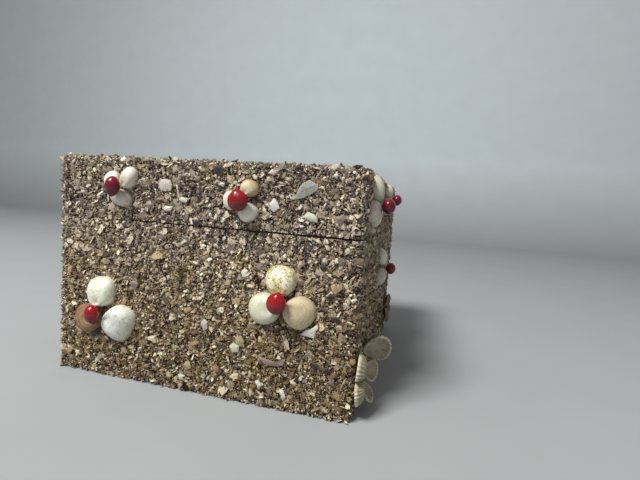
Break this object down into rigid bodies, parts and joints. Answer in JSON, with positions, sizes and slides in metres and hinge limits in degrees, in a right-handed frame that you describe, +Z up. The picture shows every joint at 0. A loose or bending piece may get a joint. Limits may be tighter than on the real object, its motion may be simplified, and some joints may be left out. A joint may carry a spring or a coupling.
{
  "type": "shell box",
  "caption": "Square keepsake box with a lift-off lid, coated in crushed sea shell and set with whole clam shells and glossy red seeds.",
  "frame": {"origin": "middle of the flat underside of the box body", "axes": "+Z up, the front face looks along -Y, +X to the right seen from the front"},
  "size_m": [0.1633, 0.151, 0.099],
  "materials": {
    "wood": "plain thin board, stained brown",
    "crushed_shell": "crushed sea shell and grit in clear glue, rough",
    "clam_shell": "natural clam shell, satin",
    "cockle_shell": "natural ribbed cockle shell, matt",
    "seed": "hard glossy seed coat"
  },
  "bodies": {
    "root": {"body_shell_coat": "crushed_shell", "box_body": "wood", "box_lid": "wood", "front_body_left_seed": "seed", "front_body_left_valve_1": "clam_shell", "front_body_left_valve_2": "clam_shell", "front_body_left_valve_3": "clam_shell", "front_body_right_seed": "seed", "front_body_right_valve_1": "clam_shell", "front_body_right_valve_2": "clam_shell", "front_body_right_valve_3": "clam_shell", "front_lid_left_seed": "seed", "front_lid_left_valve_1": "clam_shell", "front_lid_left_valve_2": "clam_shell", "front_lid_left_valve_3": "clam_shell", "front_lid_right_seed": "seed", "front_lid_right_valve_1": "clam_shell", "front_lid_right_valve_2": "clam_shell", "front_lid_right_valve_3": "clam_shell", "left_body_seed": "seed", "left_body_valve_1": "clam_shell", "left_body_valve_2": "clam_shell", "left_body_valve_3": "clam_shell", "left_lid_seed": "seed", "left_lid_valve_1": "clam_shell", "left_lid_valve_2": "clam_shell", "left_lid_valve_3": "clam_shell", "lid_shell_coat": "crushed_shell", "right_body_seed": "seed", "right_body_valve_1": "clam_shell", "right_body_valve_2": "clam_shell", "right_body_valve_3": "clam_shell", "right_lid_back_seed": "seed", "right_lid_back_valve_1": "clam_shell", "right_lid_back_valve_2": "clam_shell", "right_lid_back_valve_3": "clam_shell", "right_lid_front_seed": "seed", "right_lid_front_valve_1": "clam_shell", "right_lid_front_valve_2": "clam_shell", "right_lid_front_valve_3": "clam_shell", "rosette_back_petal_1": "cockle_shell", "rosette_back_petal_2": "cockle_shell", "rosette_back_petal_3": "cockle_shell", "rosette_back_petal_4": "cockle_shell", "rosette_back_petal_5": "cockle_shell", "rosette_front_petal_1": "cockle_shell", "rosette_front_petal_2": "cockle_shell", "rosette_front_petal_3": "cockle_shell", "rosette_front_petal_4": "cockle_shell", "rosette_front_petal_5": "cockle_shell"}
  },
  "joints": []
}
